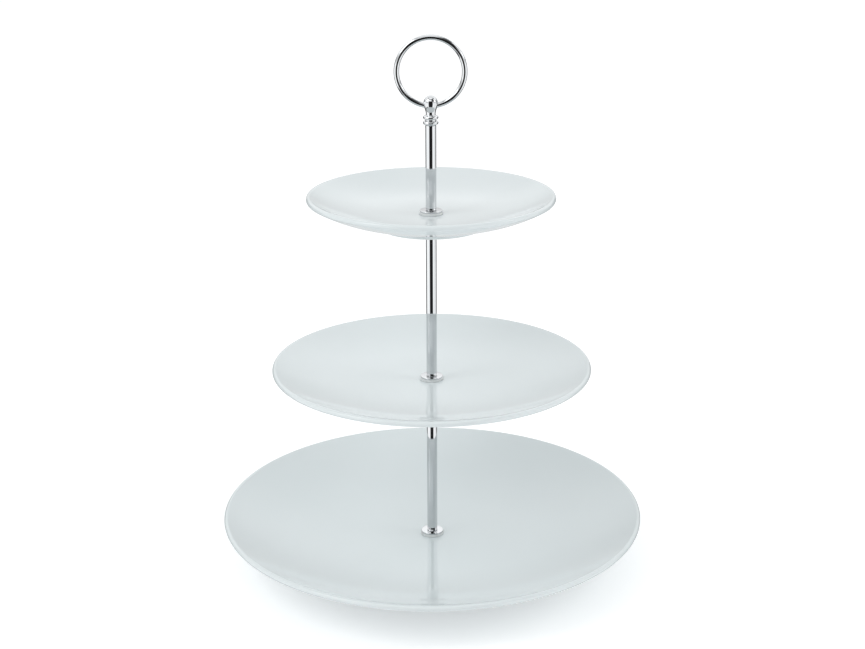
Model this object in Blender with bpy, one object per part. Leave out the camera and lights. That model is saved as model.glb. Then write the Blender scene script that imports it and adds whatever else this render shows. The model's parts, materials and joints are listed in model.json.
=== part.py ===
"""Three-tier cake stand: porcelain plates clamped between screwed metal rods, with a ring to lift it by.

Metres, +Z up. The origin is on the rods' axis, in the plane of the bottom plate's foot ring.
Every plate is gripped between two rods: a stud fixed in the rod below passes up through the plate
and screws into the rod above. A screw under the bottom plate holds the lowest rod in the same way.
"""

import math
from typing import NamedTuple

import bmesh
import bpy
from mathutils import Vector

MM = 0.001

# Clearance between faces that touch
GAP = 0.3 * MM


class Plate(NamedTuple):
    """A round porcelain plate with a foot ring and a centre hole."""

    name: str
    radius: float  # to the outside of the rim
    depth: float  # rim top above the flat middle
    wall: float  # thickness at the middle
    lip: float  # thickness at the rim
    foot_radius: float  # to the outside of the foot ring
    foot_height: float  # foot ring's face below the underside of the middle


# Rods, all of one diameter
ROD_RADIUS = 3.3 * MM
ROD_LENGTH = 98.5 * MM
HANDLE_ROD_LENGTH = 52.5 * MM
ROD_CHAMFER = 0.4 * MM
BORE_SPARE_DEPTH = 1.5 * MM  # tapped hole past the stud's end

# Studs and base screw, M4
THREAD_RADIUS = 2.0 * MM
THREAD_REACH = 7.7 * MM  # thread inside a rod: eleven turns of 0.7 mm
HEAD_RADIUS = 3.6 * MM
HEAD_HEIGHT = 2.2 * MM
SLOT_WIDTH = 1.1 * MM
SLOT_DEPTH = 1.0 * MM
SLOT_OVERRUN = 3.0 * MM  # slot cutter past the head on each side
FLOOR_CLEARANCE = 0.8 * MM  # below the screw's head

# Washers and gaskets, one of each on both sides of every plate
WASHER_RADIUS = 7.0 * MM
WASHER_THICKNESS = 0.8 * MM
GASKET_RADIUS = 7.4 * MM
GASKET_THICKNESS = 0.8 * MM
COLLAR_HEIGHT = 3.0 * MM  # lower gasket's collar, up inside the plate's hole
PLATE_HOLE_RADIUS = 4.0 * MM

# Plates
PLATE_CURVE_POWER = 3.0  # the dish rises as this power of the distance from its flat seat
SEAT_MARGIN = 1.0 * MM  # flat middle past the gasket
FOOT_WIDTH = 3.6 * MM
FOOT_FILLET = 3.2 * MM
BOTTOM_RADIUS = 135.0 * MM
BOTTOM_DEPTH = 19.5 * MM
BOTTOM_FOOT_RADIUS = 68.0 * MM
MIDDLE_RADIUS = 100.6 * MM
MIDDLE_DEPTH = 11.0 * MM
MIDDLE_FOOT_RADIUS = 48.0 * MM
MIDDLE_FOOT_HEIGHT = 3.6 * MM
TOP_RADIUS = 76.3 * MM
TOP_DEPTH = 12.4 * MM
TOP_FOOT_RADIUS = 33.8 * MM
TOP_FOOT_HEIGHT = 2.9 * MM
PLATE_WALL = 4.5 * MM
PLATE_LIP = 3.4 * MM

# Finial
BEAD_RADIUS = 4.65 * MM
BEAD_HEIGHT = 2.3 * MM
WAIST_HEIGHT = 0.95 * MM
NECK_RADIUS = 2.9 * MM
NECK_LENGTH = 0.7 * MM
BALL_RADIUS = 4.3 * MM
BALL_FLARE = 6.6 * MM  # neck to the ball's widest level
BALL_CROWN = 4.7 * MM  # widest level to the top

# Ring handle
RING_RADIUS = 20.35 * MM
RING_WIRE_RADIUS = 1.65 * MM
RING_BELOW_WIDEST = 1.45 * MM  # wire's middle below the ball's widest level

# Sides of the round pieces, and steps along their curves
PLATE_SIDES = 48
SMALL_SIDES = 20
WIRE_SIDES = 8
RING_STEPS = 40
DISH_STEPS = 7
BELLY_STEPS = 5
LIP_STEPS = 4
FILLET_STEPS = 3
BEAD_STEPS = 4
BALL_STEPS = 5
CROWN_STEPS = 4
WELD_DISTANCE = 0.001 * MM
SHARP_ANGLE = math.radians(35)

# Sizes that follow
BORE_RADIUS = THREAD_RADIUS + GAP
STACK = GASKET_THICKNESS + WASHER_THICKNESS + 3 * GAP
SEAT_RADIUS = GASKET_RADIUS + SEAT_MARGIN
BORE_DEPTH = THREAD_REACH + BORE_SPARE_DEPTH
BOTTOM_FOOT_HEIGHT = STACK + HEAD_HEIGHT + FLOOR_CLEARANCE
BEAD_ROUND = BEAD_HEIGHT / 2
BEADS_HEIGHT = 2 * BEAD_HEIGHT + WAIST_HEIGHT
FINIAL_BORE_DEPTH = BEADS_HEIGHT
NECK_LEVEL = BEADS_HEIGHT + NECK_LENGTH
WIDEST_LEVEL = NECK_LEVEL + BALL_FLARE

PLATES = (
    Plate("bottom_plate", BOTTOM_RADIUS, BOTTOM_DEPTH, PLATE_WALL, PLATE_LIP, BOTTOM_FOOT_RADIUS,
          BOTTOM_FOOT_HEIGHT),
    Plate("middle_plate", MIDDLE_RADIUS, MIDDLE_DEPTH, PLATE_WALL, PLATE_LIP, MIDDLE_FOOT_RADIUS,
          MIDDLE_FOOT_HEIGHT),
    Plate("top_plate", TOP_RADIUS, TOP_DEPTH, PLATE_WALL, PLATE_LIP, TOP_FOOT_RADIUS,
          TOP_FOOT_HEIGHT),
)


def clear_scene():
    for obj in list(bpy.data.objects):
        bpy.data.objects.remove(obj, do_unlink=True)


def make_material(name, colour, roughness, metallic):
    material = bpy.data.materials.new(name)
    material.use_nodes = True
    shader = material.node_tree.nodes["Principled BSDF"]
    shader.inputs["Base Color"].default_value = (*colour, 1.0)
    shader.inputs["Roughness"].default_value = roughness
    shader.inputs["Metallic"].default_value = metallic
    return material


def place(obj, level, parent, material):
    """Stands obj on the axis at a world level, under its parent, and gives it its material."""
    base = parent["level"] if parent else 0.0
    obj["level"] = level
    obj.parent = parent
    obj.location = (0.0, 0.0, level - base)
    obj.data.materials.append(material)
    return obj


def finish_mesh(name, bm):
    bmesh.ops.recalc_face_normals(bm, faces=bm.faces)
    mesh = bpy.data.meshes.new(name)
    bm.to_mesh(mesh)
    bm.free()
    mesh.shade_smooth()
    mesh.set_sharp_from_angle(angle=SHARP_ANGLE)
    obj = bpy.data.objects.new(name, mesh)
    bpy.context.collection.objects.link(obj)
    return obj


def turned(name, outline, sides, closed):
    """Turns an outline of (radius, height) points about Z. A closed outline leaves a hole."""
    bm = bmesh.new()
    verts = [bm.verts.new((r, 0.0, z)) for r, z in outline]
    pairs = list(zip(verts, verts[1:]))
    if closed:
        pairs.append((verts[-1], verts[0]))
    edges = [bm.edges.new(pair) for pair in pairs]
    bmesh.ops.spin(
        bm,
        geom=verts + edges,
        axis=(0, 0, 1),
        cent=(0, 0, 0),
        angle=math.tau,
        steps=sides,
        use_merge=True,
        use_duplicate=False,
    )
    bmesh.ops.remove_doubles(bm, verts=bm.verts, dist=WELD_DISTANCE)
    return finish_mesh(name, bm)


def quarter_curve(start, corner, end, steps):
    """Points of a smooth curve from start to end that is tangent to both legs of the corner."""
    points = []
    for i in range(steps + 1):
        t = i / steps
        blend = start * (1 - t) ** 2 + corner * (2 * t * (1 - t)) + end * t**2
        points.append(tuple(blend))
    return points


# --- Plates -----------------------------------------------------------------------------------


def plate_middle(plate, r):
    """Middle of the porcelain's thickness at radius r: its height, slope and thickness.

    Heights are from the underside of the plate's middle.
    """
    end = plate.radius - plate.lip / 2
    share = max(0.0, r - SEAT_RADIUS) / (end - SEAT_RADIUS)
    rise = plate.wall / 2 + plate.depth - plate.lip / 2
    height = plate.wall / 2 + rise * share**PLATE_CURVE_POWER
    slope = rise * PLATE_CURVE_POWER * share ** (PLATE_CURVE_POWER - 1) / (end - SEAT_RADIUS)
    thickness = plate.wall + (plate.lip - plate.wall) * share
    return height, slope, thickness


def plate_side(plate, r, side):
    """A point on the upper (side 1) or lower (side -1) surface, square to the middle at r."""
    height, slope, thickness = plate_middle(plate, r)
    normal = Vector((-slope, 1.0)).normalized()
    return Vector((r, height)) + normal * (side * thickness / 2)


def plate_radii(start, end, steps):
    """Radii that crowd towards the rim, where the dish bends most."""
    return [start + (end - start) * math.sin(math.pi / 2 * i / steps) for i in range(steps + 1)]


def plate_outline(plate):
    end = plate.radius - plate.lip / 2
    foot_inner = plate.foot_radius - FOOT_WIDTH
    foot_level = -plate.foot_height

    upper = [tuple(plate_side(plate, r, 1)) for r in plate_radii(SEAT_RADIUS, end, DISH_STEPS)]

    height, slope, _ = plate_middle(plate, end)
    lean = math.atan(slope)
    lip = []
    for i in range(1, LIP_STEPS):
        angle = lean + math.pi / 2 - math.pi * i / LIP_STEPS
        lip.append((end + plate.lip / 2 * math.cos(angle), height + plate.lip / 2 * math.sin(angle)))

    belly = [
        tuple(plate_side(plate, r, -1))
        for r in reversed(plate_radii(plate.foot_radius + FOOT_FILLET, end, BELLY_STEPS))
    ]
    root = plate_side(plate, plate.foot_radius, -1)
    outer_fillet = quarter_curve(
        Vector(belly[-1]),
        Vector((plate.foot_radius, root.y)),
        Vector((plate.foot_radius, foot_level)),
        FILLET_STEPS,
    )
    inner_fillet = quarter_curve(
        Vector((foot_inner, foot_level)),
        Vector((foot_inner, 0.0)),
        Vector((foot_inner - FOOT_FILLET, 0.0)),
        FILLET_STEPS,
    )
    top = (PLATE_HOLE_RADIUS, plate.wall)
    bottom = (PLATE_HOLE_RADIUS, 0.0)
    return [top, *upper, *lip, *belly, *outer_fillet[1:], *inner_fillet, bottom]


def make_plate(plate, underside, parent, material):
    obj = turned(plate.name, plate_outline(plate), PLATE_SIDES, closed=True)
    return place(obj, underside, parent, material)


# --- Rods, studs and screw --------------------------------------------------------------------


def rod_outline(length, chamfer, radius):
    """A bar from height 0 with a tapped hole in each end."""
    return [
        (0.0, BORE_DEPTH),
        (BORE_RADIUS, BORE_DEPTH),
        (BORE_RADIUS, 0.0),
        (radius - chamfer, 0.0),
        (radius, chamfer),
        (radius, length - chamfer),
        (radius - chamfer, length),
        (BORE_RADIUS, length),
        (BORE_RADIUS, length - BORE_DEPTH),
        (0.0, length - BORE_DEPTH),
    ]


def make_rod(name, length, level, parent, material):
    obj = turned(name, rod_outline(length, ROD_CHAMFER, ROD_RADIUS), SMALL_SIDES, closed=False)
    return place(obj, level, parent, material)


def make_stud(name, length, level, parent, material):
    outline = [(0.0, 0.0), (THREAD_RADIUS, 0.0), (THREAD_RADIUS, length), (0.0, length)]
    obj = turned(name, outline, SMALL_SIDES, closed=False)
    return place(obj, level, parent, material)


def make_slot_cutter(parent):
    """A bar across the screw's head, cut from below."""
    length = 2 * (HEAD_RADIUS + SLOT_OVERRUN)
    bm = bmesh.new()
    bmesh.ops.create_cube(bm, size=1.0)
    bmesh.ops.scale(bm, vec=(length, SLOT_WIDTH, 2 * SLOT_DEPTH), verts=bm.verts)
    cutter = finish_mesh("slot_cutter", bm)
    cutter.parent = parent
    cutter.hide_render = True
    cutter.display_type = "WIRE"
    return cutter


def cut_with(obj, cutter):
    modifier = obj.modifiers.new("cut", "BOOLEAN")
    modifier.operation = "DIFFERENCE"
    modifier.solver = "EXACT"
    modifier.object = cutter


def make_base_screw(length, level, parent, material):
    """A slotted screw, head down, whose shank runs up through the plate into the lowest rod."""
    outline = [
        (0.0, 0.0),
        (HEAD_RADIUS, 0.0),
        (HEAD_RADIUS, HEAD_HEIGHT),
        (THREAD_RADIUS, HEAD_HEIGHT),
        (THREAD_RADIUS, HEAD_HEIGHT + length),
        (0.0, HEAD_HEIGHT + length),
    ]
    screw = turned("base_screw", outline, SMALL_SIDES, closed=False)
    place(screw, level, parent, material)
    cut_with(screw, make_slot_cutter(screw))
    return screw


# --- Washers and gaskets ----------------------------------------------------------------------


def ring_outline(radius, thickness):
    return [(radius, thickness), (radius, 0.0), (BORE_RADIUS, 0.0), (BORE_RADIUS, thickness)]


def make_washer(name, level, parent, material):
    obj = turned(name, ring_outline(WASHER_RADIUS, WASHER_THICKNESS), SMALL_SIDES, closed=True)
    return place(obj, level, parent, material)


def make_gasket(name, level, parent, material):
    obj = turned(name, ring_outline(GASKET_RADIUS, GASKET_THICKNESS), SMALL_SIDES, closed=True)
    return place(obj, level, parent, material)


def make_collared_gasket(name, level, parent, material):
    """A gasket below a plate, with a collar that centres the plate's hole on the stud."""
    collar_radius = PLATE_HOLE_RADIUS - GAP
    top = GASKET_THICKNESS + COLLAR_HEIGHT
    outline = [
        (collar_radius, top),
        (collar_radius, GASKET_THICKNESS),
        (GASKET_RADIUS, GASKET_THICKNESS),
        (GASKET_RADIUS, 0.0),
        (BORE_RADIUS, 0.0),
        (BORE_RADIUS, top),
    ]
    obj = turned(name, outline, SMALL_SIDES, closed=True)
    return place(obj, level, parent, material)


# --- Handle -----------------------------------------------------------------------------------


def bead_outline(level):
    """Right-hand side of one rounded bead, from its bottom up."""
    points = []
    for i in range(BEAD_STEPS + 1):
        angle = math.pi * (i / BEAD_STEPS - 0.5)
        out = BEAD_RADIUS - BEAD_ROUND + BEAD_ROUND * math.cos(angle)
        points.append((out, level + BEAD_ROUND + BEAD_ROUND * math.sin(angle)))
    return points


def finial_outline():
    """Two beads with a waist between them, a neck, and a ball drawn out like a drop."""
    upper_bead = BEAD_HEIGHT + WAIST_HEIGHT
    outline = [(0.0, FINIAL_BORE_DEPTH), (BORE_RADIUS, FINIAL_BORE_DEPTH), (BORE_RADIUS, 0.0)]
    outline += bead_outline(0.0)
    outline += [(ROD_RADIUS, BEAD_HEIGHT), (ROD_RADIUS, upper_bead)]
    outline += bead_outline(upper_bead)
    outline.append((NECK_RADIUS, BEADS_HEIGHT))
    for i in range(BALL_STEPS + 1):
        share = i / BALL_STEPS
        swell = math.sin(math.pi / 2 * share) ** 2
        outline.append((
            NECK_RADIUS + (BALL_RADIUS - NECK_RADIUS) * swell,
            NECK_LEVEL + BALL_FLARE * share,
        ))
    for i in range(1, CROWN_STEPS):
        angle = math.pi / 2 * i / CROWN_STEPS
        outline.append((BALL_RADIUS * math.cos(angle), WIDEST_LEVEL + BALL_CROWN * math.sin(angle)))
    outline.append((0.0, WIDEST_LEVEL + BALL_CROWN))
    return outline


def make_torus(name, wire_radius):
    """A ring of round wire that stands in the XZ plane about its own middle."""
    bpy.ops.mesh.primitive_torus_add(
        major_segments=RING_STEPS,
        minor_segments=WIRE_SIDES,
        major_radius=RING_RADIUS,
        minor_radius=wire_radius,
    )
    ring = bpy.context.object
    ring.name = name
    ring.data.name = name
    ring.rotation_euler = (math.pi / 2, 0.0, 0.0)
    ring.data.shade_smooth()
    return ring


def make_handle(level, parent, metal):
    """The finial on top of the handle rod, and the ring that passes through its ball."""
    finial = turned("finial", finial_outline(), SMALL_SIDES, closed=False)
    place(finial, level, parent, metal)
    ring_middle = level + WIDEST_LEVEL - RING_BELOW_WIDEST + RING_RADIUS
    ring = make_torus("ring_handle", RING_WIRE_RADIUS)
    place(ring, ring_middle, finial, metal)
    cutter = make_torus("ring_channel_cutter", RING_WIRE_RADIUS + GAP)
    cutter.parent = finial
    cutter.location = (0.0, 0.0, ring_middle - level)
    cutter.hide_render = True
    cutter.display_type = "WIRE"
    cut_with(finial, cutter)


# --- Assembly ---------------------------------------------------------------------------------


def clamp_below(tier, underside, holder, chrome, silicone):
    """Collared gasket and washer under a plate; both follow the piece that presses on them."""
    gasket_level = underside - GAP - GASKET_THICKNESS
    washer_level = gasket_level - GAP - WASHER_THICKNESS
    make_collared_gasket(f"{tier}_under_gasket", gasket_level, holder, silicone)
    make_washer(f"{tier}_under_washer", washer_level, holder, chrome)


def clamp_above(tier, well, plate, chrome, silicone):
    """Gasket and washer on top of a plate, which stay on it when the rod above is unscrewed."""
    gasket_level = well + GAP
    washer_level = gasket_level + GASKET_THICKNESS + GAP
    make_gasket(f"{tier}_over_gasket", gasket_level, plate, silicone)
    make_washer(f"{tier}_over_washer", washer_level, plate, chrome)


def main():
    clear_scene()
    porcelain = make_material("porcelain", (0.86, 0.89, 0.90), 0.12, 0.0)
    chrome = make_material("chrome", (0.80, 0.81, 0.82), 0.08, 1.0)
    steel = make_material("zinc_steel", (0.55, 0.56, 0.57), 0.35, 1.0)
    silicone = make_material("silicone", (0.85, 0.86, 0.86), 0.45, 0.0)

    bottom, middle, top = PLATES
    through_plate = 2 * STACK + PLATE_WALL
    shank = through_plate - GAP + THREAD_REACH
    stud = through_plate + 2 * THREAD_REACH

    underside = bottom.foot_height
    base = make_plate(bottom, underside, None, porcelain)
    screw = make_base_screw(shank, underside - STACK - HEAD_HEIGHT, base, steel)
    clamp_below("bottom", underside, screw, chrome, silicone)
    clamp_above("bottom", underside + bottom.wall, base, chrome, silicone)

    level = underside + bottom.wall + STACK
    holder = screw
    for tier, plate in (("lower", middle), ("middle", top)):
        place_name = plate.name.removesuffix("_plate")
        rod = make_rod(f"{tier}_rod", ROD_LENGTH, level, holder, chrome)
        rod_top = level + ROD_LENGTH
        make_stud(f"{tier}_stud", stud, rod_top - THREAD_REACH, rod, steel)
        underside = rod_top + STACK
        dish = make_plate(plate, underside, rod, porcelain)
        clamp_below(place_name, underside, rod, chrome, silicone)
        clamp_above(place_name, underside + plate.wall, dish, chrome, silicone)
        level = underside + plate.wall + STACK
        holder = rod

    handle = make_rod("handle_rod", HANDLE_ROD_LENGTH, level, holder, chrome)
    handle_top = level + HANDLE_ROD_LENGTH
    finial_level = handle_top + GAP
    spigot = THREAD_REACH + FINIAL_BORE_DEPTH
    make_stud("finial_stud", spigot, handle_top - THREAD_REACH, handle, steel)
    make_handle(finial_level, handle, chrome)


main()
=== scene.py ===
"""Looks of the three-tier cake stand: glazed porcelain plates on chrome rods, with a ring handle.

Each sub-part of the frame is replaced by a finely made piece of the same size, in the same place.
Sizes are in metres. Z runs up the rods' axis, and -Y is the front.
"""

import json
import math
from typing import NamedTuple

import bmesh
import bpy
from mathutils import Euler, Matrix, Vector

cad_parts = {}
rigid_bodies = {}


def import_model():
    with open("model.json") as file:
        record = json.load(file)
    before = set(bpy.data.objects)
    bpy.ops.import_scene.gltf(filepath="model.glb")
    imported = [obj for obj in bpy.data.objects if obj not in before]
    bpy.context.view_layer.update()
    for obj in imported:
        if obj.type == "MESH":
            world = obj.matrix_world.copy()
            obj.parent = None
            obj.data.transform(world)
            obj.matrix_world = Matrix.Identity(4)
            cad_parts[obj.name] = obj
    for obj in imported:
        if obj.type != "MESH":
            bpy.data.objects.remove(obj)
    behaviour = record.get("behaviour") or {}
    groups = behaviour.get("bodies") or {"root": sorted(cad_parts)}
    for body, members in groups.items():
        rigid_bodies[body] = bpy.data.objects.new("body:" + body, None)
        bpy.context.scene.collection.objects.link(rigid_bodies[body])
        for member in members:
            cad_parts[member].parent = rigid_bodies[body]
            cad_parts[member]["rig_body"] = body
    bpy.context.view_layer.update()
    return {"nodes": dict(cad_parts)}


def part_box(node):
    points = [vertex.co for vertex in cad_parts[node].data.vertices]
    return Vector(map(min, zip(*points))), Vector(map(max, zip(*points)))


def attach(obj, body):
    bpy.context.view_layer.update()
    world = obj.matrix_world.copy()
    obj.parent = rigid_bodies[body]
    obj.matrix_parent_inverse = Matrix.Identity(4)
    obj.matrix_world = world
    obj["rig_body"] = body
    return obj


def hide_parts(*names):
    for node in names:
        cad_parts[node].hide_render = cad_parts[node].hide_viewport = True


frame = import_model()

MM = 0.001

# Camera, in front of the stand and a little above it. Its lens and sensor are in millimetres
CAMERA_PLACE = (0.0006, -0.9135, 0.4618)
CAMERA_PITCH = math.radians(18.6)
CAMERA_ROLL = math.radians(-0.214)
CAMERA_LENS = 63.9
CAMERA_SENSOR = 36.0

# Fit of clamped faces, which the frame keeps 0.3 mm apart: here only a hair's breadth is left
FRAME_GAP = 0.3 * MM
HAIR = 0.01 * MM
GROWTH = FRAME_GAP - HAIR


# Plates
class Dish(NamedTuple):
    """What a plate's box doesn't tell: its foot ring and its dip."""

    foot_radius: float
    foot_height: float
    depth: float


DISHES = {
    "bottom_plate": Dish(68.0 * MM, 5.5 * MM, 19.5 * MM),
    "middle_plate": Dish(48.0 * MM, 3.6 * MM, 11.0 * MM),
    "top_plate": Dish(33.8 * MM, 2.9 * MM, 12.4 * MM),
}
PLATE_WALL = 4.5 * MM
PLATE_LIP = 3.4 * MM
PLATE_SEAT = 8.4 * MM
PLATE_HOLE = 4.0 * MM
HOLE_ROUND = 0.5 * MM
DISH_POWER = 3.0
FOOT_WIDTH = 3.6 * MM
FOOT_FILLET = 3.2 * MM
FOOT_ROUND = 0.9 * MM
BARE_FACE = FOOT_ROUND / 4  # the glaze is wiped off up to this height

# Metalwork
TAPPED_RADIUS = 2.15 * MM
TAPPED_DEPTH = 9.2 * MM
ROD_RADIUS = 3.3 * MM
ROD_ROUND = 0.35 * MM
THREAD_RADIUS = 2.0 * MM
THREAD_CORE = THREAD_RADIUS / 2  # what lies nearer the axis isn't cut
THREAD_PITCH = 0.7 * MM
THREAD_DEPTH = 0.38 * MM
THREAD_CREST = 0.06  # half widths of crest and root, as shares of the pitch
THREAD_ROOT = 0.08
THREAD_STEP = 0.07 * MM
THREAD_POINT = 2 * THREAD_DEPTH
HEAD_HEIGHT = 2.2 * MM
HEAD_DOME = 4 * ROD_ROUND
HEAD_EDGE = ROD_ROUND / 2
SLOT_WIDTH = 1.1 * MM
SLOT_DEPTH = 1.0 * MM
WASHER_ROUND = 0.22 * MM
GASKET_THICKNESS = 0.8 * MM
GASKET_ROUND = 0.3 * MM
COLLAR_RADIUS = 3.7 * MM
BORE = 2.3 * MM

# Finial, from its foot up
BEAD_RADIUS = 4.65 * MM
BEAD_HEIGHT = 2.3 * MM
WAIST_HEIGHT = 0.95 * MM
WAIST_RADIUS = 3.3 * MM
NECK_RADIUS = 2.9 * MM
NECK_LENGTH = 0.7 * MM
BALL_RADIUS = 4.3 * MM
BALL_FLARE = 6.6 * MM
BALL_CROWN = 4.7 * MM
RING_WIRE = 1.65 * MM
RING_SEAM = 0.05 * MM
SHOULDER_RADIUS = ROD_RADIUS - ROD_ROUND  # the face that stands on the handle rod
SHOULDER_REACH = GROWTH - 4 * HAIR

# Fineness of the meshes
PLATE_STEPS = 256
METAL_STEPS = 96
THREAD_STEPS = 48
RING_STEPS = 256
WIRE_STEPS = 32
SURFACE_STEPS = 40
CORNER_STEPS = 6
LATHE_OFFSET = 1.0  # radius of the circle that an outline is swept along
FLOOR_STEPS = 96
MERGE = 0.001 * MM  # points closer together than this are joined
SHARP = math.radians(32)  # faces that meet at more than this keep their edge

# Patterns of the finishes
DRIFT_RANGE = (0.3, 0.7)
SMEAR_RANGE = (0.45, 0.75)
SMEAR_FINENESS = 9.0  # how much finer the marks in a smear are than the smear
HAIRLINE_START = 0.75  # where a hairline starts to show, as a share of where it is full
HAIRLINE_DULLNESS = 0.05  # roughness that a hairline adds
SPECK_THRESHOLD = 0.86  # a cell holds a speck if it draws more than this
COAT = 0.2
BARE_ROUGHNESS = 0.85

# Sockets of a Mix node, whose names repeat
MIX_COLOURS = (6, 7)
MIXED_COLOUR = 2
MIX_VALUES = (2, 3)
MIXED_VALUE = 0


class Lamp(NamedTuple):
    """A softbox, with its width and height, and its power in watts."""

    name: str
    place: tuple
    size: tuple
    power: float


class Card(NamedTuple):
    """A dark card around the stand, seen only in reflections.

    Its sides are shares of a half turn from the front, and its foot and head of a quarter turn up.
    It fades out over edge on both sides of each border. A border past the end of its scale
    leaves the card open on that side.
    """

    side_from: float
    side_to: float
    foot: float
    head: float
    darkness: float
    both_sides: bool
    edge: float = 0.012


# Studio
DARK_CARDS = (
    Card(-1.0, 0.19, -0.66, 0.36, 0.985, True, 0.035),  # behind the camera
    Card(-1.0, 0.12, -1.20, -0.62, 0.90, True, 0.03),  # its foot, on the table
    Card(0.62, 0.90, -0.60, 0.12, 0.95, True, 0.03),  # past the backdrop's edges
    Card(0.40, 0.45, -0.60, 0.60, 0.45, False),  # seam on the right
    Card(0.10, 0.58, 0.26, 0.68, 0.92, False, 0.03),  # high on the right
    Card(-0.48, -0.24, 0.30, 0.46, 0.55, False, 0.03),  # high on the left
    Card(-0.66, -0.26, -0.80, -0.36, 0.90, False, 0.03),  # low on the left
    Card(-1.0, 0.62, 0.60, 0.72, 0.80, True, 0.03),  # overhead, round the top light
    Card(0.62, 2.0, 0.44, 0.80, 0.20, True, 0.14),  # above the backdrop
    Card(0.62, 2.0, -0.60, 0.20, 0.46, True, 0.12),  # foot of the backdrop
    Card(-1.0, 0.70, 0.06, 0.20, 0.46, True, 0.06),  # along the other walls
    Card(-1.0, 2.0, -1.20, -0.42, 0.40, True, 0.08),  # table top
)
LAMPS = (
    Lamp("left_softbox", (-1.1, -0.5, 1.3), (0.7, 0.9), 5.0),
    Lamp("right_softbox", (1.2, -0.2, 1.0), (0.5, 0.9), 2.5),
)
LAMP_AIM = (0.0, 0.0, 0.15)
STUDIO_TINT = (0.985, 0.995, 1.0)
STUDIO_LIGHT = 0.79  # as it lights the stand; seen directly it is 1
REFLECTED_LIGHT = 1.4  # as polished pieces reflect it
FLOOR_RADIUS = 8.0
FLOOR_GLOW = 0.30  # as seen
FLOOR_BOUNCE = 0.15  # as it lights the stand


# --- Node helpers -----------------------------------------------------------------------------


def new_node(tree, kind, inputs=None, **settings):
    """A node with its settings and inputs. An input is linked if it is a socket, and else set."""
    node = tree.nodes.new(kind)
    for key, value in settings.items():
        setattr(node, key, value)
    for key, value in (inputs or {}).items():
        if isinstance(value, bpy.types.NodeSocket):
            tree.links.new(value, node.inputs[key])
        else:
            node.inputs[key].default_value = value
    return node


def calc(tree, operation, *values):
    """The output of a Math node."""
    return new_node(tree, "ShaderNodeMath", dict(enumerate(values)), operation=operation).outputs[0]


def vector_calc(tree, operation, inputs):
    """The outputs of a Vector Math node."""
    return new_node(tree, "ShaderNodeVectorMath", inputs, operation=operation).outputs


def from_axis(tree, place):
    """The way from the Z axis to a place, and how long it is."""
    way = vector_calc(tree, "MULTIPLY", {0: place, 1: (1.0, 1.0, 0.0)})["Vector"]
    return way, vector_calc(tree, "LENGTH", {0: way})["Value"]


def ramp(tree, value, low, high, smooth=True):
    """0 where value is low, 1 where it is high, and held past both."""
    node = new_node(
        tree,
        "ShaderNodeMapRange",
        {"Value": value, "From Min": low, "From Max": high},
        interpolation_type="SMOOTHSTEP" if smooth else "LINEAR",
    )
    return node.outputs["Result"]


def blend_colours(tree, share, first, second):
    """The colour that is first where share is 0, and second where it is 1."""
    inputs = {"Factor": share, **dict(zip(MIX_COLOURS, (first, second)))}
    return new_node(tree, "ShaderNodeMix", inputs, data_type="RGBA").outputs[MIXED_COLOUR]


def blend_values(tree, share, first, second):
    """The value that is first where share is 0, and second where it is 1."""
    inputs = {"Factor": share, **dict(zip(MIX_VALUES, (first, second)))}
    return new_node(tree, "ShaderNodeMix", inputs, data_type="FLOAT").outputs[MIXED_VALUE]


def add_sockets(tree, inputs, outputs):
    """Named sockets for a tree, and the nodes through which its values enter and leave."""
    for name, kind, default in inputs:
        socket = tree.interface.new_socket(name, in_out="INPUT", socket_type=kind)
        if default is not None:
            socket.default_value = default
    for name, kind in outputs:
        tree.interface.new_socket(name, in_out="OUTPUT", socket_type=kind)
    enter = tree.nodes.new("NodeGroupInput")
    leave = tree.nodes.new("NodeGroupOutput")
    return enter.outputs, leave.inputs


# --- Geometry trees ---------------------------------------------------------------------------


def shape_tree(name, inputs):
    """A geometry tree with named inputs. finish_tree closes it."""
    tree = bpy.data.node_groups.new(name, "GeometryNodeTree")
    sockets = [("Geometry", "NodeSocketGeometry", None), *inputs]
    sockets.append(("Material", "NodeSocketMaterial", None))
    enter, leave = add_sockets(tree, sockets, [("Geometry", "NodeSocketGeometry")])
    return tree, enter, leave


def finish_tree(tree, enter, leave, geometry):
    """The last steps of every geometry tree: one real mesh, in its material."""
    real = new_node(tree, "GeometryNodeRealizeInstances", {"Geometry": geometry})
    painted = new_node(
        tree,
        "GeometryNodeSetMaterial",
        {"Geometry": real.outputs["Geometry"], "Material": enter["Material"]},
    )
    tree.links.new(painted.outputs["Geometry"], leave["Geometry"])
    return tree


def make_lathe_tree():
    """Turns an outline drawn in the XZ plane about Z, by sweeping it along a wide circle."""
    tree, enter, leave = shape_tree("lathe", [("Steps", "NodeSocketInt", METAL_STEPS)])
    outline = new_node(tree, "GeometryNodeMeshToCurve", {"Mesh": enter["Geometry"]})
    laid = new_node(
        tree,
        "GeometryNodeTransform",
        {
            "Geometry": outline.outputs["Curve"],
            "Rotation": (math.pi / 2, 0.0, 0.0),
            "Translation": (-LATHE_OFFSET, 0.0, 0.0),
        },
    )
    path = new_node(
        tree,
        "GeometryNodeCurvePrimitiveCircle",
        {"Resolution": enter["Steps"], "Radius": LATHE_OFFSET},
    )
    swept = new_node(
        tree,
        "GeometryNodeCurveToMesh",
        {"Curve": path.outputs["Curve"], "Profile Curve": laid.outputs["Geometry"]},
    )
    merged = new_node(
        tree,
        "GeometryNodeMergeByDistance",
        {"Geometry": swept.outputs["Mesh"], "Distance": MERGE},
    )
    return finish_tree(tree, enter, leave, merged.outputs["Geometry"])


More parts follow.
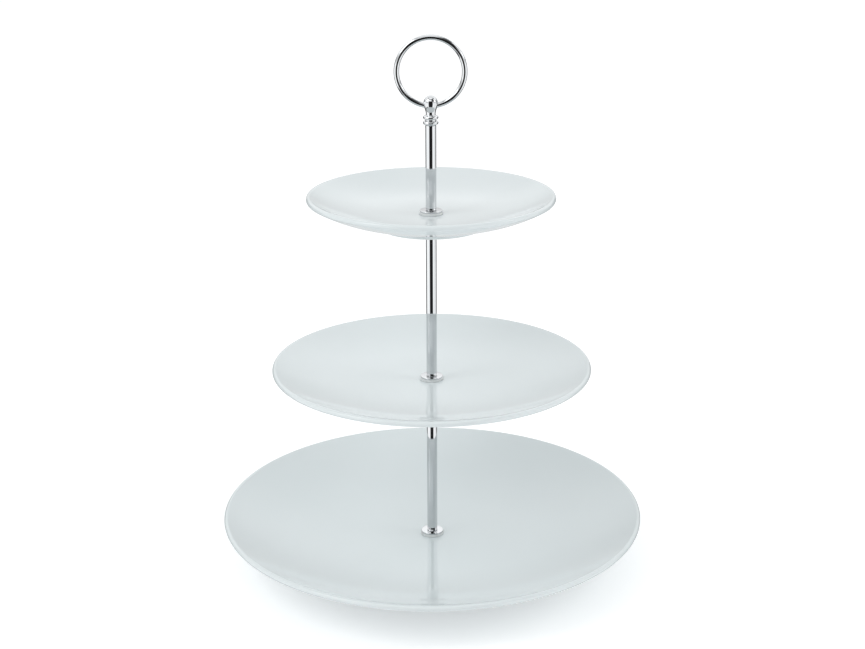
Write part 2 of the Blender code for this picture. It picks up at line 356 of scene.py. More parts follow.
def make_thread_tree():
    """Cuts a right-hand thread into a shank that stands on Z, between two levels."""
    tree, enter, leave = shape_tree(
        "screw_thread",
        [
            ("Pitch", "NodeSocketFloat", THREAD_PITCH),
            ("Depth", "NodeSocketFloat", THREAD_DEPTH),
            ("Bottom", "NodeSocketFloat", 0.0),
            ("Top", "NodeSocketFloat", 1.0),
            ("Core", "NodeSocketFloat", THREAD_CORE),
        ],
    )
    place = new_node(tree, "GeometryNodeInputPosition").outputs[0]
    way, radius = from_axis(tree, place)
    outward = vector_calc(tree, "NORMALIZE", {0: way})["Vector"]
    axes = new_node(tree, "ShaderNodeSeparateXYZ", {0: place}).outputs
    turn = calc(tree, "DIVIDE", calc(tree, "ARCTAN2", axes["Y"], axes["X"]), math.tau)
    rise = calc(tree, "DIVIDE", axes["Z"], enter["Pitch"])
    wave = calc(tree, "PINGPONG", calc(tree, "SUBTRACT", rise, turn), 0.5)
    groove = ramp(tree, wave, THREAD_CREST, 0.5 - THREAD_ROOT, smooth=False)
    run_in = ramp(tree, calc(tree, "SUBTRACT", axes["Z"], enter["Bottom"]), 0.0, enter["Pitch"])
    run_out = ramp(tree, calc(tree, "SUBTRACT", enter["Top"], axes["Z"]), 0.0, enter["Pitch"])
    outer = calc(tree, "GREATER_THAN", radius, enter["Core"])
    reach = calc(tree, "MULTIPLY", calc(tree, "MULTIPLY", run_in, run_out), outer)
    cut = calc(tree, "MULTIPLY", calc(tree, "MULTIPLY", groove, reach), enter["Depth"])
    inward = calc(tree, "MULTIPLY", cut, -1.0)
    offset = vector_calc(tree, "SCALE", {0: outward, "Scale": inward})["Vector"]
    moved = new_node(
        tree,
        "GeometryNodeSetPosition",
        {"Geometry": enter["Geometry"], "Offset": offset},
    )
    return finish_tree(tree, enter, leave, moved.outputs["Geometry"])


def make_ring_tree():
    """A closed ring of round wire about Y."""
    tree, enter, leave = shape_tree(
        "wire_ring",
        [
            ("Ring Radius", "NodeSocketFloat", 20.0 * MM),
            ("Wire Radius", "NodeSocketFloat", RING_WIRE),
            ("Ring Steps", "NodeSocketInt", RING_STEPS),
            ("Wire Steps", "NodeSocketInt", WIRE_STEPS),
            ("Centre", "NodeSocketVector", (0.0, 0.0, 0.0)),
        ],
    )
    path = new_node(
        tree,
        "GeometryNodeCurvePrimitiveCircle",
        {"Resolution": enter["Ring Steps"], "Radius": enter["Ring Radius"]},
    )
    wire = new_node(
        tree,
        "GeometryNodeCurvePrimitiveCircle",
        {"Resolution": enter["Wire Steps"], "Radius": enter["Wire Radius"]},
    )
    swept = new_node(
        tree,
        "GeometryNodeCurveToMesh",
        {"Curve": path.outputs["Curve"], "Profile Curve": wire.outputs["Curve"]},
    )
    upright = new_node(
        tree,
        "GeometryNodeTransform",
        {
            "Geometry": swept.outputs["Mesh"],
            "Rotation": (math.pi / 2, 0.0, 0.0),
            "Translation": enter["Centre"],
        },
    )
    return finish_tree(tree, enter, leave, upright.outputs["Geometry"])


# --- Objects ----------------------------------------------------------------------------------


def add_object(name, data):
    """A new object in the scene."""
    obj = bpy.data.objects.new(name, data)
    bpy.context.collection.objects.link(obj)
    return obj


def new_mesh(name, bm):
    """A new mesh from a bmesh, which is spent."""
    mesh = bpy.data.meshes.new(name)
    bm.to_mesh(mesh)
    bm.free()
    return mesh


def keep_result(obj, modifier):
    """The modifier's result becomes obj's plain mesh, and the modifier goes."""
    made = obj.evaluated_get(bpy.context.evaluated_depsgraph_get())
    result = bpy.data.meshes.new_from_object(made)
    obj.modifiers.remove(modifier)
    rough = obj.data
    obj.data = result
    bpy.data.meshes.remove(rough)
    return obj


def apply_tree(obj, tree, **values):
    """Runs a geometry tree on obj and keeps the result as its plain mesh."""
    sockets = {
        item.name: item.identifier
        for item in tree.interface.items_tree
        if item.item_type == "SOCKET" and item.in_out == "INPUT"
    }
    modifier = obj.modifiers.new("shape", "NODES")
    modifier.node_group = tree
    for name, value in values.items():
        modifier[sockets[name.replace("_", " ").title()]] = value
    return keep_result(obj, modifier)


# --- Outlines ---------------------------------------------------------------------------------


def rounded(corners):
    """Points of a path through (radius, height, rounding) corners, each rounded by an arc."""
    points = []
    for i, (r, z, size) in enumerate(corners):
        here = Vector((r, z))
        if size == 0.0:
            points.append((r, z))
            continue
        before = (Vector(corners[i - 1][:2]) - here).normalized()
        after = (Vector(corners[(i + 1) % len(corners)][:2]) - here).normalized()
        half = before.angle(after) / 2
        centre = here + (before + after).normalized() * (size / math.sin(half))
        start = (here + before * (size / math.tan(half)) - centre).normalized()
        end = (here + after * (size / math.tan(half)) - centre).normalized()
        for k in range(CORNER_STEPS + 1):
            points.append(tuple(centre + start.slerp(end, k / CORNER_STEPS) * size))
    return points


def bowed(start, corner, end, steps):
    """Points of a curve that leaves start towards the corner and comes into end from it."""
    points = []
    for i in range(steps + 1):
        share = i / steps
        left = 1 - share
        points.append(tuple(start * left**2 + corner * (2 * share * left) + end * share**2))
    return points


# --- Turning and cutting ----------------------------------------------------------------------


def turned_piece(name, outline, closed, steps, material, bare=()):
    """A piece turned from an outline. bare is 1 for each of its points that carries no glaze."""
    mesh = bpy.data.meshes.new(name)
    edges = [(i, i + 1) for i in range(len(outline) - 1)]
    if closed:
        edges.append((len(outline) - 1, 0))
    mesh.from_pydata([(r, 0.0, z) for r, z in outline], edges, [])
    if bare:
        attribute = mesh.attributes.new("bare", "FLOAT", "POINT")
        attribute.data.foreach_set("value", bare)
    return apply_tree(add_object(name, mesh), TREES["lathe"], steps=steps, material=material)


def smooth_off(obj):
    """Faces turned outwards, and smooth but for real edges."""
    bm = bmesh.new()
    bm.from_mesh(obj.data)
    bmesh.ops.recalc_face_normals(bm, faces=bm.faces)
    bm.to_mesh(obj.data)
    bm.free()
    obj.data.shade_smooth()
    obj.data.set_sharp_from_angle(angle=SHARP)
    return obj


def cut_away(obj, cutter):
    """Cuts a closed cutter out of obj for good."""
    modifier = obj.modifiers.new("cut", "BOOLEAN")
    modifier.operation = "DIFFERENCE"
    modifier.solver = "EXACT"
    modifier.object = cutter
    keep_result(obj, modifier)
    bpy.data.objects.remove(cutter, do_unlink=True)
    return obj


# --- Pieces -----------------------------------------------------------------------------------


def dish_section(node):
    """Outline of a plate, and for each point whether it is bare of glaze."""
    low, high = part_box(node)
    dish = DISHES[node]
    underside = low.z + dish.foot_height
    end = high.x - PLATE_LIP / 2
    rise = PLATE_WALL / 2 + dish.depth - PLATE_LIP / 2

    def surface(r, side):
        """A point of the plate's upper (side 1) or lower (side -1) surface."""
        share = max(0.0, r - PLATE_SEAT) / (end - PLATE_SEAT)
        slope = rise * DISH_POWER * share ** (DISH_POWER - 1) / (end - PLATE_SEAT)
        thickness = PLATE_WALL + (PLATE_LIP - PLATE_WALL) * share
        middle = Vector((r, underside + PLATE_WALL / 2 + rise * share**DISH_POWER))
        return middle + Vector((-slope, 1.0)).normalized() * (side * thickness / 2)

    def across(start, stop, steps):
        """Radii from start to stop, closer together towards stop."""
        shares = [math.sin(math.pi / 2 * i / steps) for i in range(steps + 1)]
        return [start + (stop - start) * share for share in shares]

    upper = [tuple(surface(r, 1)) for r in across(PLATE_SEAT, end, SURFACE_STEPS)]
    tip = surface(end, 1)
    centre = (tip + surface(end, -1)) / 2
    lean = math.atan2(tip.y - centre.y, tip.x - centre.x)
    lip = []
    for i in range(1, 2 * CORNER_STEPS):
        angle = lean - math.pi * i / (2 * CORNER_STEPS)
        lip.append(tuple(centre + Vector((math.cos(angle), math.sin(angle))) * (PLATE_LIP / 2)))
    foot_out = dish.foot_radius
    foot_in = foot_out - FOOT_WIDTH
    belly = [
        tuple(surface(r, -1))
        for r in reversed(across(foot_out + FOOT_FILLET, end, SURFACE_STEPS))
    ]
    root = surface(foot_out, -1)
    shoulder = low.z + FOOT_ROUND
    outer = bowed(
        Vector(belly[-1]),
        Vector((foot_out, root.y)),
        Vector((foot_out, shoulder)),
        2 * CORNER_STEPS,
    )
    inner = bowed(
        Vector((foot_in, shoulder)),
        Vector((foot_in, underside)),
        Vector((foot_in - FOOT_FILLET, underside)),
        2 * CORNER_STEPS,
    )
    ground = rounded([
        (foot_out, shoulder, 0.0),
        (foot_out, low.z, FOOT_ROUND),
        (foot_in, low.z, FOOT_ROUND),
        (foot_in, shoulder, 0.0),
    ])
    hole = rounded([
        (foot_in - FOOT_FILLET, underside, 0.0),
        (PLATE_HOLE, underside, HOLE_ROUND),
        (PLATE_HOLE, underside + PLATE_WALL, HOLE_ROUND),
        (PLATE_SEAT, underside + PLATE_WALL, 0.0),
    ])
    outline = [*upper, *lip, *belly, *outer[1:], *ground[1:-1], *inner, *hole[1:-1]]
    bare = [1.0 if z < low.z + BARE_FACE else 0.0 for _, z in outline]
    return outline, bare


def polished(node, outline, closed):
    """A chrome piece turned from an outline."""
    chrome = FINISHES["chrome"]
    return smooth_off(turned_piece(f"{node}_polished", outline, closed, METAL_STEPS, chrome))


def moulded(node, outline):
    """A silicone piece turned from an outline."""
    silicone = FINISHES["silicone"]
    return smooth_off(turned_piece(f"{node}_moulded", outline, True, METAL_STEPS, silicone))


def make_plate(node):
    """A porcelain plate with a foot ring and a drilled hole."""
    outline, bare = dish_section(node)
    glaze = FINISHES["porcelain"]
    return smooth_off(turned_piece(f"{node}_glazed", outline, True, PLATE_STEPS, glaze, bare))


def make_rod(node):
    """A polished bar, tapped at both ends."""
    low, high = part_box(node)
    radius = high.x
    countersink = TAPPED_RADIUS + ROD_ROUND
    outline = rounded([
        (0.0, low.z + TAPPED_DEPTH, 0.0),
        (TAPPED_RADIUS, low.z + TAPPED_DEPTH, 0.0),
        (TAPPED_RADIUS, low.z + ROD_ROUND, 0.0),
        (countersink, low.z, 0.0),
        (radius, low.z, ROD_ROUND),
        (radius, high.z, ROD_ROUND),
        (countersink, high.z, 0.0),
        (TAPPED_RADIUS, high.z - ROD_ROUND, 0.0),
        (TAPPED_RADIUS, high.z - TAPPED_DEPTH, 0.0),
        (0.0, high.z - TAPPED_DEPTH, 0.0),
    ])
    return polished(node, outline, closed=False)


def shank(low, high):
    """Right-hand side of a shank to be threaded, from low up to a blunt point at high."""
    length = high - THREAD_POINT - low
    rows = round(length / THREAD_STEP)
    side = [(THREAD_RADIUS, low + length * i / rows) for i in range(rows + 1)]
    return [*side, (THREAD_RADIUS - THREAD_POINT, high), (0.0, high)]


def threaded_piece(node, outline, bottom, top):
    """A zinc piece turned from an outline, with a thread between two levels."""
    zinc = FINISHES["zinc_steel"]
    piece = turned_piece(f"{node}_threaded", outline, False, THREAD_STEPS, zinc)
    return apply_tree(
        piece,
        TREES["screw_thread"],
        pitch=THREAD_PITCH,
        depth=THREAD_DEPTH,
        bottom=bottom,
        top=top,
        core=THREAD_CORE,
        material=zinc,
    )


def make_stud(node):
    """A headless stud, threaded from end to end."""
    low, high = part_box(node)
    point = [(0.0, low.z), (THREAD_RADIUS - THREAD_POINT, low.z)]
    outline = [*point, *shank(low.z + THREAD_POINT, high.z)]
    return smooth_off(threaded_piece(node, outline, low.z, high.z))


def make_screw(node):
    """The slotted screw under the bottom plate."""
    low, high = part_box(node)
    radius = high.x
    neck = low.z + HEAD_HEIGHT
    crown = rounded([
        (0.0, low.z, 0.0),
        (radius, low.z, HEAD_DOME),
        (radius, neck, HEAD_EDGE),
        (THREAD_RADIUS, neck, 0.0),
    ])
    outline = [*crown[:-1], *shank(neck, high.z)]
    piece = threaded_piece(node, outline, neck, high.z)
    bm = bmesh.new()
    bmesh.ops.create_cube(bm, size=1.0)
    bmesh.ops.scale(bm, vec=(4 * radius, SLOT_WIDTH, 2 * SLOT_DEPTH), verts=bm.verts)
    bmesh.ops.translate(bm, vec=(0.0, 0.0, low.z), verts=bm.verts)
    cutter = add_object("slot_cutter", new_mesh("slot_cutter", bm))
    return smooth_off(cut_away(piece, cutter))


def make_washer(node, toward_rod):
    """A stamped washer. toward_rod is 1 if the rod or screw it meets is above, and -1 if below."""
    low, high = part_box(node)
    bottom = low.z - (GROWTH if toward_rod < 0 else 0.0)
    top = high.z + (GROWTH if toward_rod > 0 else 0.0)
    outline = rounded([
        (BORE, bottom, WASHER_ROUND / 2),
        (high.x, bottom, WASHER_ROUND),
        (high.x, top, WASHER_ROUND),
        (BORE, top, WASHER_ROUND / 2),
    ])
    return polished(node, outline, closed=True)


def make_gasket(node):
    """A flat silicone gasket, pressed between plate and washer."""
    low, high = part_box(node)
    outline = rounded([
        (BORE, low.z - GROWTH, GASKET_ROUND / 2),
        (high.x, low.z - GROWTH, GASKET_ROUND),
        (high.x, high.z + GROWTH, GASKET_ROUND),
        (BORE, high.z + GROWTH, GASKET_ROUND / 2),
    ])
    return moulded(node, outline)


def make_collared_gasket(node):
    """The gasket below a plate, whose collar stands up in the plate's hole."""
    low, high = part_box(node)
    flange = low.z + GASKET_THICKNESS + GROWTH
    outline = rounded([
        (BORE, low.z - GROWTH, GASKET_ROUND / 2),
        (high.x, low.z - GROWTH, GASKET_ROUND),
        (high.x, flange, GASKET_ROUND),
        (COLLAR_RADIUS, flange, GASKET_ROUND),
        (COLLAR_RADIUS, high.z, GASKET_ROUND),
        (BORE, high.z, GASKET_ROUND / 2),
    ])
    return moulded(node, outline)


def bead(level):
    """Right-hand side of a rounded bead that stands on level."""
    half = BEAD_HEIGHT / 2
    points = []
    for i in range(2 * CORNER_STEPS + 1):
        angle = math.pi * (i / (2 * CORNER_STEPS) - 0.5)
        points.append((
            BEAD_RADIUS - half + half * math.cos(angle),
            level + half + half * math.sin(angle),
        ))
    return points


def make_ring(name, radius, wire, centre):
    """A chrome ring that stands in the XZ plane."""
    ring = apply_tree(
        add_object(name, bpy.data.meshes.new(name)),
        TREES["wire_ring"],
        ring_radius=radius,
        wire_radius=wire,
        ring_steps=RING_STEPS,
        wire_steps=WIRE_STEPS,
        centre=centre,
        material=FINISHES["chrome"],
    )
    return smooth_off(ring)


def ring_measures():
    """Radius of the handle ring to the middle of its wire, and its centre."""
    low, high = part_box("ring_handle")
    return (high.x - low.x) / 2 - RING_WIRE, (low + high) / 2


def make_handle_ring(node):
    """The ring by which the stand is carried."""
    radius, centre = ring_measures()
    return make_ring(f"{node}_polished", radius, RING_WIRE, centre)


def make_finial(node):
    """Two beads, a neck and a drop-shaped ball with the ring's hole through it."""
    low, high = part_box(node)
    foot = low.z - SHOULDER_REACH
    second = low.z + BEAD_HEIGHT + WAIST_HEIGHT
    neck = second + BEAD_HEIGHT + NECK_LENGTH
    widest = neck + BALL_FLARE
    outline = [(0.0, second + BEAD_HEIGHT), (TAPPED_RADIUS, second + BEAD_HEIGHT)]
    outline += [(TAPPED_RADIUS, foot), (SHOULDER_RADIUS, foot), (SHOULDER_RADIUS, low.z)]
    outline += bead(low.z)[1:]
    outline += bowed(
        Vector((BEAD_RADIUS - BEAD_HEIGHT / 2, low.z + BEAD_HEIGHT)),
        Vector((WAIST_RADIUS, low.z + BEAD_HEIGHT)),
        Vector((WAIST_RADIUS, low.z + BEAD_HEIGHT + WAIST_HEIGHT / 2)),
        CORNER_STEPS,
    )[1:]
    outline += bowed(
        Vector((WAIST_RADIUS, low.z + BEAD_HEIGHT + WAIST_HEIGHT / 2)),
        Vector((WAIST_RADIUS, second)),
        Vector((BEAD_RADIUS - BEAD_HEIGHT / 2, second)),
        CORNER_STEPS,
    )[1:]
    outline += bead(second)[1:]
    outline += bowed(
        Vector(outline[-1]),
        Vector((NECK_RADIUS, second + BEAD_HEIGHT)),
        Vector((NECK_RADIUS, neck)),
        CORNER_STEPS,
    )[1:]
    for i in range(1, SURFACE_STEPS + 1):
        share = i / SURFACE_STEPS
        swell = (BALL_RADIUS - NECK_RADIUS) * math.sin(math.pi / 2 * share) ** 2
        outline.append((NECK_RADIUS + swell, neck + BALL_FLARE * share))
    for i in range(1, SURFACE_STEPS):
        angle = math.pi / 2 * i / SURFACE_STEPS
        outline.append((BALL_RADIUS * math.cos(angle), widest + BALL_CROWN * math.sin(angle)))
    outline.append((0.0, high.z))
    piece = polished(node, outline, closed=False)
    radius, centre = ring_measures()
    cutter = make_ring("ring_hole_cutter", radius, RING_WIRE + RING_SEAM, centre)
    return smooth_off(cut_away(piece, cutter))


# --- Shader groups ----------------------------------------------------------------------------


def shader_group(name, inputs, outputs):
    """A shader tree with named inputs and outputs, and the place on the piece that it colours."""
    tree = bpy.data.node_groups.new(name, "ShaderNodeTree")
    enter, leave = add_sockets(tree, inputs, outputs)
    place = new_node(tree, "ShaderNodeTexCoord").outputs["Object"]
    return tree, enter, leave, place


def noise(tree, place, scale, detail=3.0, roughness=0.55):
    """A soft random value from 0 to 1."""
    node = new_node(
        tree,
        "ShaderNodeTexNoise",
        {"Vector": place, "Scale": scale, "Detail": detail, "Roughness": roughness},
    )
    return node.outputs["Fac"]


def make_drift_group():
    """A colour that drifts gently between two tones."""
    tree, enter, leave, place = shader_group(
        "tone_drift",
        [
            ("Tone A", "NodeSocketColor", (0.8, 0.8, 0.8, 1.0)),
            ("Tone B", "NodeSocketColor", (0.7, 0.7, 0.7, 1.0)),
            ("Scale", "NodeSocketFloat", 20.0),
        ],
        [("Colour", "NodeSocketColor")],
    )
    share = ramp(tree, noise(tree, place, enter["Scale"]), *DRIFT_RANGE)
    tone = blend_colours(tree, share, enter["Tone A"], enter["Tone B"])
    tree.links.new(tone, leave["Colour"])
    return tree


def make_smudge_group():
    """Roughness of a wiped surface: faint smears and finger marks over a clean polish."""
    tree, enter, leave, place = shader_group(
        "wiped_polish",
        [
            ("Clean", "NodeSocketFloat", 0.05),
            ("Smeared", "NodeSocketFloat", 0.12),
            ("Scale", "NodeSocketFloat", 30.0),
        ],
        [("Roughness", "NodeSocketFloat")],
    )
    broad = ramp(tree, noise(tree, place, enter["Scale"], detail=2.0), *SMEAR_RANGE)
    fine_scale = calc(tree, "MULTIPLY", enter["Scale"], SMEAR_FINENESS)
    fine = noise(tree, place, fine_scale, detail=4.0, roughness=0.7)
    smear = calc(tree, "MULTIPLY", broad, fine)
    polish = blend_values(tree, smear, enter["Clean"], enter["Smeared"])
    tree.links.new(polish, leave["Roughness"])
    return tree


def make_hairline_group():
    """Hairline marks that run round the axis: a mask of the lines and their height."""
    tree, enter, leave, place = shader_group(
        "hairlines",
        [("Spacing", "NodeSocketFloat", 0.6 * MM), ("Share", "NodeSocketFloat", 0.2)],
        [("Mask", "NodeSocketFloat"), ("Height", "NodeSocketFloat")],
    )
    axes = new_node(tree, "ShaderNodeSeparateXYZ", {0: place}).outputs
    radius = from_axis(tree, place)[1]
    turn = calc(tree, "ARCTAN2", axes["Y"], axes["X"])
    lines = new_node(
        tree,
        "ShaderNodeCombineXYZ",
        {
            "X": calc(tree, "DIVIDE", axes["Z"], enter["Spacing"]),
            "Y": calc(tree, "DIVIDE", radius, enter["Spacing"]),
            "Z": calc(tree, "SINE", turn),
        },
    ).outputs["Vector"]
    grain = noise(tree, lines, 1.0, detail=2.0, roughness=0.8)
    edge = calc(tree, "SUBTRACT", 1.0, enter["Share"])
    mask = ramp(tree, grain, calc(tree, "MULTIPLY", edge, HAIRLINE_START), edge)
    tree.links.new(mask, leave["Mask"])
    tree.links.new(calc(tree, "SUBTRACT", 1.0, grain), leave["Height"])
    return tree


def make_speck_group():
    """A sprinkling of tiny specks."""
    tree, enter, leave, place = shader_group(
        "specks",
        [
            ("Base", "NodeSocketColor", (0.8, 0.8, 0.8, 1.0)),
            ("Speck", "NodeSocketColor", (0.5, 0.5, 0.48, 1.0)),
            ("Scale", "NodeSocketFloat", 400.0),
            ("Size", "NodeSocketFloat", 0.08),
            ("Amount", "NodeSocketFloat", 0.3),
        ],
        [("Colour", "NodeSocketColor")],
    )
    cells = new_node(tree, "ShaderNodeTexVoronoi", {"Vector": place, "Scale": enter["Scale"]})
    dot = calc(tree, "LESS_THAN", cells.outputs["Distance"], enter["Size"])
    chosen = new_node(tree, "ShaderNodeSeparateColor", {"Color": cells.outputs["Color"]})
    sparse = calc(tree, "GREATER_THAN", chosen.outputs["Red"], SPECK_THRESHOLD)
    mask = calc(tree, "MULTIPLY", calc(tree, "MULTIPLY", dot, sparse), enter["Amount"])
    colour = blend_colours(tree, mask, enter["Base"], enter["Speck"])
    tree.links.new(colour, leave["Colour"])
    return tree


def make_ripple_group():
    """Height of a surface that was once liquid: a long lazy wave and a fine orange peel."""
    tree, enter, leave, place = shader_group(
        "ripple",
        [
            ("Wave Scale", "NodeSocketFloat", 25.0),
            ("Peel Scale", "NodeSocketFloat", 350.0),
            ("Peel", "NodeSocketFloat", 0.15),
        ],
        [("Height", "NodeSocketFloat")],
    )
    wave = noise(tree, place, enter["Wave Scale"], detail=1.0)
    peel = noise(tree, place, enter["Peel Scale"], detail=2.0)
    height = calc(tree, "MULTIPLY_ADD", peel, enter["Peel"], wave)
    tree.links.new(height, leave["Height"])
    return tree


# --- Finishes ---------------------------------------------------------------------------------


def new_finish(name, **constants):
    """A material with its shader, whose unchanging values are set on the shader itself."""
    material = bpy.data.materials.new(name)
    material.use_nodes = True
    tree = material.node_tree
    shader = tree.nodes["Principled BSDF"]
    for key, value in constants.items():
        shader.inputs[key.replace("_", " ")].default_value = value
    return material, tree, shader.inputs


def group_node(tree, name, inputs):
    """The outputs of a shader group that is placed in a material with its own values."""
    return new_node(tree, "ShaderNodeGroup", inputs, node_tree=GROUPS[name]).outputs


def bump(tree, height, strength, distance):
    """The normal of a surface that rises by distance where height is 1."""
    inputs = {"Height": height, "Strength": strength, "Distance": distance}
    return new_node(tree, "ShaderNodeBump", inputs).outputs["Normal"]


def tint(red, green, blue):
    """A solid colour, as a node wants it."""
    return (red, green, blue, 1.0)


def drifting(tree, first, second, scale):
    """A colour that drifts between two tones."""
    inputs = {"Tone A": tint(*first), "Tone B": tint(*second), "Scale": scale}
    return group_node(tree, "tone_drift", inputs)["Colour"]


def specked(tree, base, speck, scale, size, amount):
    """A colour with tiny specks of another in it."""
    inputs = {"Base": base, "Speck": tint(*speck), "Scale": scale, "Size": size, "Amount": amount}
    return group_node(tree, "specks", inputs)["Colour"]


def wiped(tree, clean, smeared, scale):
    """The roughness of a surface that has been wiped."""
    inputs = {"Clean": clean, "Smeared": smeared, "Scale": scale}
    return group_node(tree, "wiped_polish", inputs)["Roughness"]


def make_porcelain():
    """Cool white porcelain under a clear glaze, with its bare body on the foot ring's face."""
    material, tree, shader = new_finish(
        "glazed_porcelain", IOR=1.52, Specular_IOR_Level=0.38, Coat_IOR=1.5
    )
    body = drifting(tree, (0.755, 0.805, 0.815), (0.735, 0.79, 0.80), scale=9.0)
    glazed = specked(tree, body, (0.42, 0.40, 0.37), scale=220.0, size=0.035, amount=0.5)
    bisque = drifting(tree, (0.74, 0.71, 0.66), (0.62, 0.59, 0.54), scale=160.0)
    bare = new_node(tree, "ShaderNodeAttribute", attribute_name="bare").outputs["Fac"]
    tree.links.new(blend_colours(tree, bare, glazed, bisque), shader["Base Color"])
    polish = wiped(tree, clean=0.045, smeared=0.13, scale=28.0)
    rough = blend_values(tree, bare, polish, BARE_ROUGHNESS)
    tree.links.new(rough, shader["Roughness"])
    tree.links.new(calc(tree, "MULTIPLY_ADD", bare, -COAT, COAT), shader["Coat Weight"])
    ripple = group_node(tree, "ripple", {"Wave Scale": 34.0, "Peel Scale": 420.0, "Peel": 0.06})
    rippled = bump(tree, ripple["Height"], strength=0.35, distance=0.12 * MM)
    tree.links.new(rippled, shader["Normal"])
    return material


def make_chrome():
    """Bright chrome plate over polished steel, with the faintest polishing lines."""
    material, tree, shader = new_finish("bright_chrome", Metallic=1.0)
    metal = drifting(tree, (0.66, 0.67, 0.68), (0.63, 0.642, 0.655), scale=60.0)
    colour = specked(tree, metal, (0.35, 0.36, 0.37), scale=900.0, size=0.10, amount=0.35)
    tree.links.new(colour, shader["Base Color"])
    lines = group_node(tree, "hairlines", {"Spacing": 0.35 * MM, "Share": 0.30})
    polish = wiped(tree, clean=0.025, smeared=0.10, scale=70.0)
    rough = calc(tree, "MULTIPLY_ADD", lines["Mask"], HAIRLINE_DULLNESS, polish)
    tree.links.new(rough, shader["Roughness"])
    lined = bump(tree, lines["Height"], strength=0.05, distance=0.02 * MM)
    tree.links.new(lined, shader["Normal"])
    return material


def make_zinc():
    """Zinc-plated steel: greyer and duller than chrome, with cloudy passivation."""
    material, tree, shader = new_finish("zinc_plate", Metallic=1.0)
    plated = drifting(tree, (0.47, 0.485, 0.51), (0.39, 0.39, 0.385), scale=180.0)
    tree.links.new(plated, shader["Base Color"])
    rough = wiped(tree, clean=0.26, smeared=0.48, scale=150.0)
    tree.links.new(rough, shader["Roughness"])
    lines = group_node(tree, "hairlines", {"Spacing": 0.12 * MM, "Share": 0.4})
    lined = bump(tree, lines["Height"], strength=0.25, distance=0.02 * MM)
    tree.links.new(lined, shader["Normal"])
    return material


def make_silicone():
    """Milky silicone rubber with a satin, slightly dusty skin."""
    material, tree, shader = new_finish(
        "milky_silicone",
        Subsurface_Weight=0.35,
        Subsurface_Radius=(1.2 * MM, 1.2 * MM, 1.3 * MM),
        Subsurface_Scale=1.0,
        IOR=1.41,
    )
    milky = drifting(tree, (0.80, 0.82, 0.82), (0.72, 0.74, 0.745), scale=120.0)
    dusty = specked(tree, milky, (0.52, 0.50, 0.47), scale=1400.0, size=0.14, amount=0.6)
    tree.links.new(dusty, shader["Base Color"])
    rough = wiped(tree, clean=0.38, smeared=0.56, scale=200.0)
    tree.links.new(rough, shader["Roughness"])
    skin = group_node(tree, "ripple", {"Wave Scale": 300.0, "Peel Scale": 2600.0, "Peel": 0.5})
    rippled = bump(tree, skin["Height"], strength=0.3, distance=0.03 * MM)
    tree.links.new(rippled, shader["Normal"])
    return material


# --- Studio -----------------------------------------------------------------------------------


def make_camera():
    """A camera that looks a little down on the stand."""
    data = bpy.data.cameras.new("camera")
    data.lens = CAMERA_LENS
    data.sensor_fit = "HORIZONTAL"
    data.sensor_width = CAMERA_SENSOR
    camera = add_object("camera", data)
    camera.location = CAMERA_PLACE
    aim = Euler((math.pi / 2 - CAMERA_PITCH, 0.0, 0.0)).to_matrix()
    camera.rotation_euler = (aim @ Euler((0.0, 0.0, CAMERA_ROLL)).to_matrix()).to_euler()
    bpy.context.scene.camera = camera


def band(tree, value, low, high, edge):
    """1 where value lies between low and high, and 0 outside, with soft edges."""
    above = ramp(tree, value, low - edge, low + edge)
    below = ramp(tree, value, high + edge, high - edge)
    return calc(tree, "MULTIPLY", above, below)


def card_mask(tree, card, side, away, height):
    """How much of a dark card is seen in a direction."""
    across = away if card.both_sides else side
    in_width = band(tree, across, card.side_from, card.side_to, card.edge)
    in_height = band(tree, height, card.foot, card.head, card.edge)
    inside = calc(tree, "MULTIPLY", in_width, in_height)
    return calc(tree, "MULTIPLY", inside, card.darkness)


def make_world():
    """A white studio. Polished pieces see dark cards in it, which give them their lines."""
    world = bpy.data.worlds.new("studio")
    bpy.context.scene.world = world
    world.use_nodes = True
    tree = world.node_tree
    tree.nodes.clear()
    toward = new_node(tree, "ShaderNodeTexCoord").outputs["Generated"]
    axes = new_node(tree, "ShaderNodeSeparateXYZ", {0: toward}).outputs
    front = calc(tree, "MULTIPLY", axes["Y"], -1.0)
    side = calc(tree, "DIVIDE", calc(tree, "ARCTAN2", axes["X"], front), math.pi)
    away = calc(tree, "ABSOLUTE", side)
    height = calc(tree, "DIVIDE", calc(tree, "ARCSINE", axes["Z"]), math.pi / 2)
    dark = 0.0
    for card in DARK_CARDS:
        dark = calc(tree, "MAXIMUM", dark, card_mask(tree, card, side, away, height))

    path = new_node(tree, "ShaderNodeLightPath").outputs
    seen = calc(tree, "MULTIPLY", dark, path["Is Glossy Ray"])
    lit = calc(tree, "MULTIPLY_ADD", path["Is Camera Ray"], 1.0 - STUDIO_LIGHT, STUDIO_LIGHT)
    extra = REFLECTED_LIGHT - STUDIO_LIGHT
    bright = calc(tree, "MULTIPLY_ADD", path["Is Glossy Ray"], extra, lit)
    strength = calc(tree, "MULTIPLY", bright, calc(tree, "SUBTRACT", 1.0, seen))
    background = new_node(
        tree,
        "ShaderNodeBackground",
        {"Color": tint(*STUDIO_TINT), "Strength": strength},
    )
    output = tree.nodes.new("ShaderNodeOutputWorld")
    tree.links.new(background.outputs["Background"], output.inputs["Surface"])


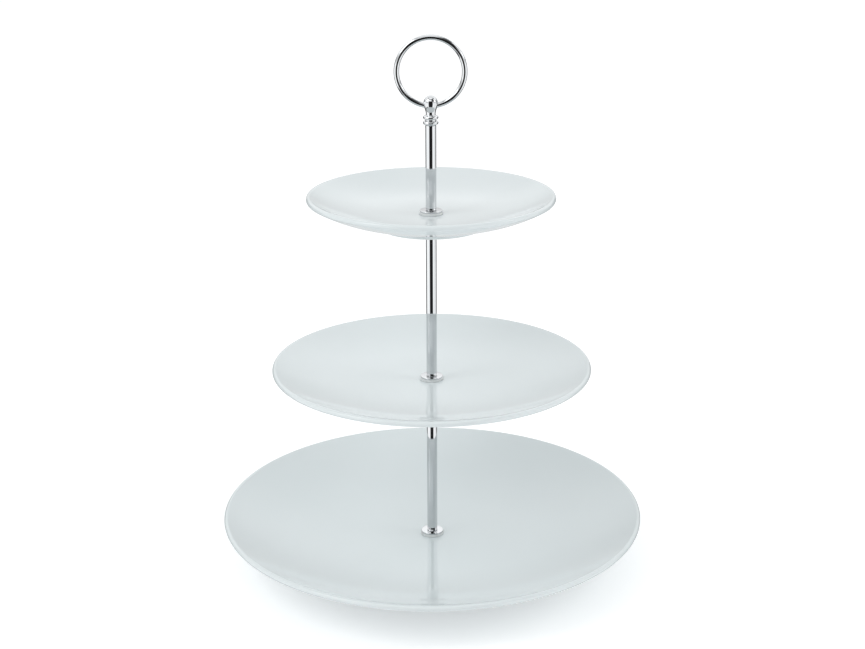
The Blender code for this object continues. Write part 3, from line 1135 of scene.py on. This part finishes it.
def make_floor():
    """A pale tabletop that runs out of sight. It glows a little, so that it stays near white."""
    bm = bmesh.new()
    bmesh.ops.create_circle(bm, cap_ends=True, radius=FLOOR_RADIUS, segments=FLOOR_STEPS)
    floor = add_object("floor", new_mesh("floor", bm))
    floor.location.z = -HAIR
    material, tree, shader = new_finish("pale_floor", Roughness=0.7)
    tone = drifting(tree, (0.93, 0.935, 0.94), (0.92, 0.925, 0.93), scale=2.0)
    tree.links.new(tone, shader["Base Color"])
    tree.links.new(tone, shader["Emission Color"])
    seen = new_node(tree, "ShaderNodeLightPath").outputs["Is Camera Ray"]
    glow = calc(tree, "MULTIPLY_ADD", seen, FLOOR_GLOW - FLOOR_BOUNCE, FLOOR_BOUNCE)
    tree.links.new(glow, shader["Emission Strength"])
    floor.data.materials.append(material)
    floor.visible_glossy = False


def make_lamp(lamp):
    """A softbox that faces the stand."""
    data = bpy.data.lights.new(lamp.name, "AREA")
    data.shape = "RECTANGLE"
    data.size, data.size_y = lamp.size
    data.energy = lamp.power
    softbox = add_object(lamp.name, data)
    softbox.location = lamp.place
    facing = Vector(LAMP_AIM) - Vector(lamp.place)
    softbox.rotation_euler = facing.to_track_quat("-Z", "Y").to_euler()


def make_studio():
    """The light and the floor around the stand, in plain tones."""
    make_world()
    make_floor()
    for lamp in LAMPS:
        make_lamp(lamp)
    bpy.context.scene.view_settings.view_transform = "Standard"


# --- The stand --------------------------------------------------------------------------------

TREES = {
    "lathe": make_lathe_tree(),
    "screw_thread": make_thread_tree(),
    "wire_ring": make_ring_tree(),
}
GROUPS = {
    "tone_drift": make_drift_group(),
    "wiped_polish": make_smudge_group(),
    "hairlines": make_hairline_group(),
    "specks": make_speck_group(),
    "ripple": make_ripple_group(),
}
FINISHES = {
    "porcelain": make_porcelain(),
    "chrome": make_chrome(),
    "zinc_steel": make_zinc(),
    "silicone": make_silicone(),
}


def fit(make, node, slot, **details):
    """The piece that make gives stands for the node, and rides on the node's body."""
    piece = make(node, **details)
    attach(piece, frame["nodes"][node]["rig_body"])
    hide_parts(node)


for tier in ("bottom", "middle", "top"):
    fit(make_plate, f"{tier}_plate", "porcelain")
    fit(make_collared_gasket, f"{tier}_under_gasket", "silicone")
    fit(make_gasket, f"{tier}_over_gasket", "silicone")
    fit(make_washer, f"{tier}_under_washer", "chrome", toward_rod=-1)
    fit(make_washer, f"{tier}_over_washer", "chrome", toward_rod=1)
for node in ("lower_rod", "middle_rod", "handle_rod"):
    fit(make_rod, node, "chrome")
for node in ("lower_stud", "middle_stud", "finial_stud"):
    fit(make_stud, node, "zinc_steel")
fit(make_screw, "base_screw", "zinc_steel")
fit(make_finial, "finial", "chrome")
fit(make_handle_ring, "ring_handle", "chrome")

make_camera()
make_studio()
